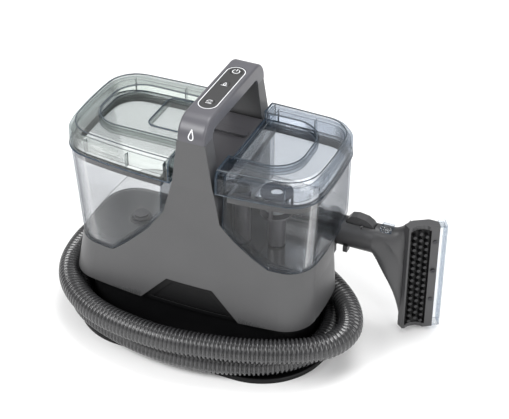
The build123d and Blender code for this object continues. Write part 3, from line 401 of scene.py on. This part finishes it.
DARK_STEEL = metal("blackened_steel", (0.06, 0.06, 0.065), 0.4)
# Colour of the painted shade lines along the clear edges
NAVY = (0.028, 0.050, 0.075)
CLEAR_TANK = clear("clear_tank", (0.935, 0.94, 0.945), (0.50, 0.52, 0.55), NAVY, edge_shade_width=2.0)
CLEAR_LID_LEFT = clear(
    "clear_lid_left", (0.90, 0.915, 0.905), (0.48, 0.54, 0.55), NAVY, edge_shade_width=2.6
)
CLEAR_LID_RIGHT = clear(
    "clear_lid_right", (0.88, 0.90, 0.925), (0.46, 0.51, 0.57), NAVY, edge_shade_width=2.6
)
LID_FRAME_LEFT = clear(
    "lid_frame_left", (0.96, 0.97, 0.965), (0.66, 0.71, 0.72), NAVY, edge_shade_width=1.2
)
LID_FRAME_RIGHT = clear(
    "lid_frame_right", (0.95, 0.96, 0.975), (0.64, 0.69, 0.74), NAVY, edge_shade_width=1.2
)
WINDOW = clear(
    "clear_window", (0.93, 0.945, 0.96), (0.50, 0.57, 0.66), (0.05, 0.09, 0.15), edge_shade_width=1.2
)
# Dark plastics of the painted shade threads along the clear edges
NAVY_EDGE_SHADE = plastic(
    "navy_edge_shade", (0.022, 0.042, 0.068), 0.25, grain=0.0, edge=0.1, own_painted_shade=True
)
GREY_EDGE_SHADE = plastic(
    "grey_edge_shade", (0.060, 0.072, 0.085), 0.25, grain=0.0, edge=0.1, own_painted_shade=True
)
WHITE = plastic("print_white", (0.75, 0.76, 0.78), 0.45, edge=0.1)

NODE_MATERIALS = {
    SHELL: ["front_housing", "rear_housing"],
    CAP: ["handle_cap"],
    TOOL: [
        "tool_handle_front",
        "tool_handle_rear",
        "tool_head",
        "trigger",
        "hose_cuff",
        "handle_grip",
    ],
    DECK: [
        "tank_platform",
        "tank_socket",
        "intake_pipe",
        "air_pipe",
        "valve_seat",
        "valve_poppet",
        "column_cap",
    ],
    BLACK: [
        "base_tray",
        "front_panel",
        "exhaust_grille",
        "hose_port",
        "tool_cradle",
        "brush_block",
        "cord_gland",
        "suction_duct",
        "motor_inlet",
        "motor_housing",
        "impeller",
        "water_pump",
        "spray_valve",
    ],
    PANEL: ["control_panel", "power_button", "spray_button", "suction_button"],
    RUBBER: ["foot_pads", "rubber_mounts", "water_lines"],
    SEAL: ["clean_lid_seal", "dirty_lid_seal"],
    BRISTLE: ["brush_tufts"],
    FOAM: ["float_disc"],
    BOARD: ["control_board"],
    STEEL: [
        "base_screws",
        "flap_pin",
        "motor_bearings",
        "motor_stator",
        "motor_rotor",
        "trigger_pin",
        "trigger_spring",
        "valve_spring",
        "valve_stem",
    ],
    DARK_STEEL: ["window_screws", "spray_tip"],
    CLEAR_TANK: ["clean_tank", "dirty_tank"],
    CLEAR_LID_LEFT: ["clean_lid", "fill_flap"],
    CLEAR_LID_RIGHT: ["dirty_lid"],
    WINDOW: ["clear_window"],
}


def paint(obj, material):
    """One material on the whole piece."""
    if not obj.material_slots:
        obj.data.materials.append(material)
    for slot in obj.material_slots:
        slot.material = material


for material, names in NODE_MATERIALS.items():
    for name in names:
        paint(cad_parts[name], material)
paint(hose, HOSE)


# ---------------------------------------------------------------- inner walls of the lids, and painted shade threads along their edges
def section_loops(node, place, direction=(0, 0, 1)):
    """Closed outlines where a plane cuts a CAD node, longest first."""
    bm = bmesh.new()
    bm.from_mesh(node.data)
    everything = bm.verts[:] + bm.edges[:] + bm.faces[:]
    bmesh.ops.bisect_plane(
        bm,
        geom=everything,
        plane_co=place,
        plane_no=direction,
        clear_inner=True,
        clear_outer=True,
    )
    bmesh.ops.remove_doubles(bm, verts=bm.verts[:], dist=0.00005)
    left = set(bm.edges)
    loops = []
    while left:
        edge = min(left, key=lambda e: e.index)
        left.discard(edge)
        start, here = edge.verts
        places = [start.co.copy(), here.co.copy()]
        while here is not start:
            onward = [e for e in here.link_edges if e in left]
            if not onward:
                break
            left.discard(onward[0])
            here = onward[0].other_vert(here)
            places.append(here.co.copy())
        loops.append(places[:-1])
    bm.free()
    loops.sort(key=lambda loop: -sum((a - b).length for a, b in zip(loop, loop[1:])))
    return loops


def inset_loop(loop, amount):
    """The outline moved inwards in its own level plane."""
    area = sum(a.x * b.y - b.x * a.y for a, b in zip(loop, loop[1:] + loop[:1]))
    turn = 1 if area > 0 else -1
    moved = []
    for k, point in enumerate(loop):
        before = (point - loop[k - 1]).normalized()
        after = (loop[(k + 1) % len(loop)] - point).normalized()
        inward = Vector((-before.y - after.y, before.x + after.x, 0)) * turn
        if inward.length < 0.2:
            moved.append(point.copy())
            continue
        inward.normalize()
        square_on = inward.dot(Vector((-before.y, before.x, 0)) * turn)
        moved.append(point + inward * amount / max(square_on, 0.5))
    return moved


FRAME_LOW, FRAME_HIGH = 253.0, 275.0
FRAME_INSET = 6.5
FRAME_WALL = 1.3
RIB_HALF = 0.6
RIB_DROP = 2.0  # the ribs end this far below the inner wall's top


def lid_frame(name, node, body, material, pitch):
    """Thin inner wall round a clear lid, tied to its skin by a short rib at each pitch."""
    skin = section_loops(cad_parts[node], (0, 0, FRAME_LOW * MM))[1]
    outer = inset_loop(skin, FRAME_INSET * MM)
    inner = inset_loop(skin, (FRAME_INSET + FRAME_WALL) * MM)
    verts, faces = [], []
    count = len(skin)
    for loop in (outer, inner):
        for height in (FRAME_LOW, FRAME_HIGH):
            verts += [(p.x, p.y, height * MM) for p in loop]
    for k in range(count):
        n = (k + 1) % count
        faces.append((k, n, count + n, count + k))
        faces.append((2 * count + n, 2 * count + k, 3 * count + k, 3 * count + n))
        faces.append((count + k, count + n, 3 * count + n, 3 * count + k))
        faces.append((n, k, 2 * count + k, 2 * count + n))
    travelled = pitch / 2
    for k in range(count):
        travelled += (skin[k] - skin[k - 1]).length / MM
        if travelled < pitch:
            continue
        travelled = 0.0
        along = (skin[(k + 1) % count] - skin[k]).normalized() * RIB_HALF * MM
        first = len(verts)
        for place in (skin[k] - along, skin[k] + along, outer[k] + along, outer[k] - along):
            verts.append((place.x, place.y, FRAME_LOW * MM))
            verts.append((place.x, place.y, (FRAME_HIGH - RIB_DROP) * MM))
        for side in range(4):
            a, b = first + 2 * side, first + 2 * ((side + 1) % 4)
            faces.append((a, b, b + 1, a + 1))
        faces.append(tuple(first + 2 * j + 1 for j in range(4)))
        faces.append(tuple(first + 2 * j for j in range(4))[::-1])
    obj = link(name, mesh_from(name, verts, faces, smooth=False), body)
    paint(obj, material)


THREAD_STEP = 2.5


def edge_shade_thread(name, node, body, material, radius, place, direction=(0, 0, 1)):
    """Thin dark thread along a thick moulded edge: painted shade for the dark look of the clear edge.
    """
    loop = section_loops(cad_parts[node], [value * MM for value in place], direction)[0]
    points = [tuple(p) for p in loop + loop[:1]]
    length = sum((Vector(b) - Vector(a)).length for a, b in zip(points, points[1:]))
    stations = np.linspace(0, length, int(length / (THREAD_STEP * MM)))
    verts, faces = rings_along(points, stations, [radius * MM] * len(stations), 8)
    obj = link(name, mesh_from(name, verts, faces), body)
    paint(obj, material)


# Cuts that the painted shade threads follow: above the seam, below the top, near the middle end, and
# in the flap
SEAM_CUT, TOP_CUT, FLAP_CUT = (0, 0, 251.4), (0, 0, 282.8), (0, 0, 275.2)
CLEAN_END_CUT, DIRTY_END_CUT, ALONG_X = (-33, 0, 0), (33, 0, 0), (1, 0, 0)
CLEAN, DIRTY = ("clean_lid", "clean_lid_body"), ("dirty_lid", "dirty_lid_body")
edge_shade_thread("clean_lid_seam_shade", *CLEAN, NAVY_EDGE_SHADE, 0.85, SEAM_CUT)
edge_shade_thread("dirty_lid_seam_shade", *DIRTY, GREY_EDGE_SHADE, 0.6, SEAM_CUT)
edge_shade_thread("clean_lid_top_shade", *CLEAN, GREY_EDGE_SHADE, 0.8, TOP_CUT)
edge_shade_thread("dirty_lid_top_shade", *DIRTY, GREY_EDGE_SHADE, 0.8, TOP_CUT)
edge_shade_thread("clean_lid_end_shade", *CLEAN, NAVY_EDGE_SHADE, 0.5, CLEAN_END_CUT, ALONG_X)
edge_shade_thread("dirty_lid_end_shade", *DIRTY, NAVY_EDGE_SHADE, 0.5, DIRTY_END_CUT, ALONG_X)
edge_shade_thread("fill_flap_edge_shade", "fill_flap", "fill_flap_body", NAVY_EDGE_SHADE, 0.8, FLAP_CUT)
lid_frame("clean_lid_frame", *CLEAN, LID_FRAME_LEFT, 62)
lid_frame("dirty_lid_frame", *DIRTY, LID_FRAME_RIGHT, 74)


# ---------------------------------------------------------------- printed symbols
PANEL_AT, PANEL_TOP = (0.0, 2.0), 346.6
BUTTON_TOP = 347.0
POWER_AT, SPRAY_AT, SUCTION_AT = (0.0, 44.0), (0.0, 11.0), (0.0, -35.0)
PRINT_SUNK = 0.2  # how far a print reaches into its face
PRINT_PROUD, MARK_PROUD = 0.06, 0.08  # how far it stands out, on a level and on a curved face
AHEAD_OF_ALL = -0.4  # Y of a plane in front of the whole object, in metres


def arc(centre, radius, start, end, steps=24):
    """Points in mm on an arc, angles in degrees."""
    angles = [math.radians(start + (end - start) * k / steps) for k in range(steps + 1)]
    return [(centre[0] + radius * math.cos(a), centre[1] + radius * math.sin(a)) for a in angles]


def ribbon_faces(a, b):
    """Sides of a ribbon between two cross-sections of four vertices, given their first ones."""
    return [
        (a + 1, a + 3, b + 3, b + 1),
        (a, b, b + 2, a + 2),
        (a, a + 1, b + 1, b),
        (a + 2, b + 2, b + 3, a + 3),
    ]


def print_on(name, lines, width, top, body):
    """Printed line work on a level face: each line is a thin raised ribbon."""
    verts, faces = [], []
    for line in lines:
        points = [Vector(p) for p in line]
        closed = (points[0] - points[-1]).length < 0.01
        first = len(verts)
        for k, point in enumerate(points):
            before = points[k - 1] if k else points[-2] if closed else point
            after = points[k + 1] if k + 1 < len(points) else points[1] if closed else point
            ahead = (after - before).normalized()
            across = Vector((-ahead.y, ahead.x)) * width / 2
            for place in (point + across, point - across):
                for height in (top - PRINT_SUNK, top + PRINT_PROUD):
                    verts.append((place.x * MM, place.y * MM, height * MM))
        for k in range(len(points) - 1):
            faces += ribbon_faces(first + 4 * k, first + 4 * (k + 1))
        if not closed:
            last = first + 4 * (len(points) - 1)
            faces.append((first, first + 2, first + 3, first + 1))
            faces.append((last, last + 1, last + 3, last + 2))
    obj = link(name, mesh_from(name, verts, faces, smooth=False), body)
    paint(obj, WHITE)


def drop_line(centre, size, steps=30):
    """Closed outline of a water drop, point up."""
    line = []
    for k in range(steps + 1):
        t = TAU * k / steps
        x = 0.72 * size * math.sin(t) * math.sin(t / 2) ** 1.6
        line.append((centre[0] + x, centre[1] + size * math.cos(t)))
    return line


def stadium(length, width, centre, steps=20):
    """Closed outline of a slot along Y."""
    half = (length - width) / 2
    line = arc((centre[0], centre[1] + half), width / 2, 0, 180, steps)
    line += arc((centre[0], centre[1] - half), width / 2, 180, 360, steps)
    return line + [line[0]]


print_on("panel_outline", [stadium(106.0, 25.0, PANEL_AT)], 1.1, PANEL_TOP, "root")
print_on(
    "power_symbol",
    [arc(POWER_AT, 4.6, 122, 418), [(0.0, 44.6), (0.0, 50.4)]],
    1.0,
    BUTTON_TOP,
    "power_button_body",
)
print_on(
    "spray_symbol",
    [drop_line(SPRAY_AT, 3.4), [(-4.4, 6.8), (4.4, 6.8)]],
    0.8,
    BUTTON_TOP,
    "spray_button_body",
)
print_on(
    "suction_symbol",
    [arc(SUCTION_AT, 3.6, 30, 200), arc(SUCTION_AT, 1.9, 210, 380), [(-4.2, -38.8), (4.2, -38.8)]],
    0.8,
    BUTTON_TOP,
    "suction_button_body",
)


def surface_of(node):
    """A CAD node's surface, for rays to hit."""
    bm = bmesh.new()
    bm.from_mesh(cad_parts[node].data)
    tree = BVHTree.FromBMesh(bm)
    bm.free()
    return tree


def print_in_front(name, node, line, width, body):
    """Printed closed line on the front of a curved piece, given by its X and Z."""
    tree = surface_of(node)
    points = [Vector((x * MM, z * MM)) for x, z in line]
    verts, faces = [], []
    for k, point in enumerate(points[:-1]):
        before = points[k - 1] if k else points[-2]
        ahead = (points[k + 1] - before).normalized()
        across = Vector((-ahead.y, ahead.x)) * width * MM / 2
        for place in (point + across, point - across):
            origin = Vector((place.x, AHEAD_OF_ALL, place.y))
            hit, normal, _, _ = tree.ray_cast(origin, Vector((0, 1, 0)))
            verts += [hit - normal * PRINT_SUNK * MM, hit + normal * MARK_PROUD * MM]
    count = len(points) - 1
    for k in range(count):
        faces += ribbon_faces(4 * k, 4 * ((k + 1) % count))
    obj = link(name, mesh_from(name, verts, faces, smooth=False), body)
    paint(obj, WHITE)


MARK_AT, MARK_SIZE = (0.0, 329.0), 6.2
mark = drop_line(MARK_AT, MARK_SIZE, 48)
print_in_front("drop_mark", "handle_cap", mark, 1.4, "root")


# ---------------------------------------------------------------- flutes on the housing's lower edge
FLUTE_FOOT = 70.8
FLUTE_PITCH = 3.4
FLUTE_BACK = -70.0  # a ray that lands behind this has missed the front, and its flute is left out
FLUTE_ACROSS = (-1.35, -0.8, 0.0, 0.8, 1.35)
FLUTE_PROUD = (-0.25, 0.35, 0.6, 0.35, -0.25)  # negative is inside the housing
FLUTE_TIP = 1.2


def flutes(name, node, start, end, start_top, end_top):
    """Row of small upright flutes on the front of the housing, taller towards the notch."""
    tree = surface_of(node)
    verts, faces = [], []
    total = int(abs(end - start) / FLUTE_PITCH)
    columns = len(FLUTE_ACROSS)
    for k in range(total + 1):
        share = k / total
        middle = start + (end - start) * share
        top = start_top + (end_top - start_top) * share
        skin = []
        for height, swell in ((FLUTE_FOOT, 1.0), (top - FLUTE_TIP, 1.0), (top, -0.4)):
            for offset, rise in zip(FLUTE_ACROSS, FLUTE_PROUD):
                origin = Vector(((middle + offset) * MM, AHEAD_OF_ALL, height * MM))
                hit, normal, _, _ = tree.ray_cast(origin, Vector((0, 1, 0)))
                lift = rise * swell if rise > 0 else rise
                if hit and hit.y < FLUTE_BACK * MM:
                    skin.append(hit + normal * lift * MM)
        if len(skin) < 3 * columns:
            continue
        first = len(verts)
        verts += skin
        for row in range(2):
            for col in range(columns - 1):
                a = first + columns * row + col
                faces.append((a, a + 1, a + columns + 1, a + columns))
    obj = link(name, mesh_from(name, verts, faces), "root")
    paint(obj, FLUTE)


flutes("housing_flutes_left", "front_housing", -58.0, -112.0, 81.0, 74.0)
flutes("housing_flutes_right", "front_housing", 57.0, 104.0, 82.0, 73.0)


# ---------------------------------------------------------------- floor and light
def floor():
    """Plain pale floor that runs well past the view."""
    corners = [(-30, -30, 0), (30, -30, 0), (30, 30, 0), (-30, 30, 0)]
    mesh = mesh_from("floor", corners, [(0, 1, 2, 3)])
    obj = bpy.data.objects.new("floor", mesh)
    bpy.context.collection.objects.link(obj)
    m = Nodes("floor_white")
    place = m.add("ShaderNodeTexCoord")
    cloud = m.add("ShaderNodeTexNoise", Scale=2.0, Detail=2.0)
    m.wire(place.outputs["Object"], cloud.inputs["Vector"])
    ramp = m.add("ShaderNodeValToRGB")
    ramp.color_ramp.elements[0].color = (0.90, 0.90, 0.90, 1)
    ramp.color_ramp.elements[1].color = (0.93, 0.93, 0.93, 1)
    m.wire(cloud.outputs["Fac"], ramp.inputs["Fac"])
    m.wire(ramp.outputs["Color"], m.shader.inputs["Base Color"])
    m.shader.inputs["Roughness"].default_value = 0.9
    obj.data.materials.append(m.material)


def softbox(name, place, target, size, power):
    """Large area light aimed at a point."""
    light = bpy.data.lights.new(name, "AREA")
    light.shape = "RECTANGLE"
    light.size, light.size_y = size
    light.energy = power
    obj = bpy.data.objects.new(name, light)
    bpy.context.collection.objects.link(obj)
    obj.location = place
    obj.rotation_mode = "QUATERNION"
    obj.rotation_quaternion = (Vector(target) - Vector(place)).to_track_quat("-Z", "Y")


floor()
world = bpy.data.worlds.new("studio")
bpy.context.scene.world = world
world.use_nodes = True
world.node_tree.nodes["Background"].inputs["Color"].default_value = (1, 1, 1, 1)
world.node_tree.nodes["Background"].inputs["Strength"].default_value = 0.55
softbox("key", (-0.9, -1.3, 1.6), (0, 0, 0.15), (1.2, 0.9), 34)
softbox("fill", (1.6, -0.7, 1.0), (0, 0, 0.15), (0.9, 1.2), 16)
softbox("top", (0.1, 0.5, 1.9), (0, 0, 0.15), (1.4, 0.9), 26)
bpy.context.scene.view_settings.view_transform = "Standard"
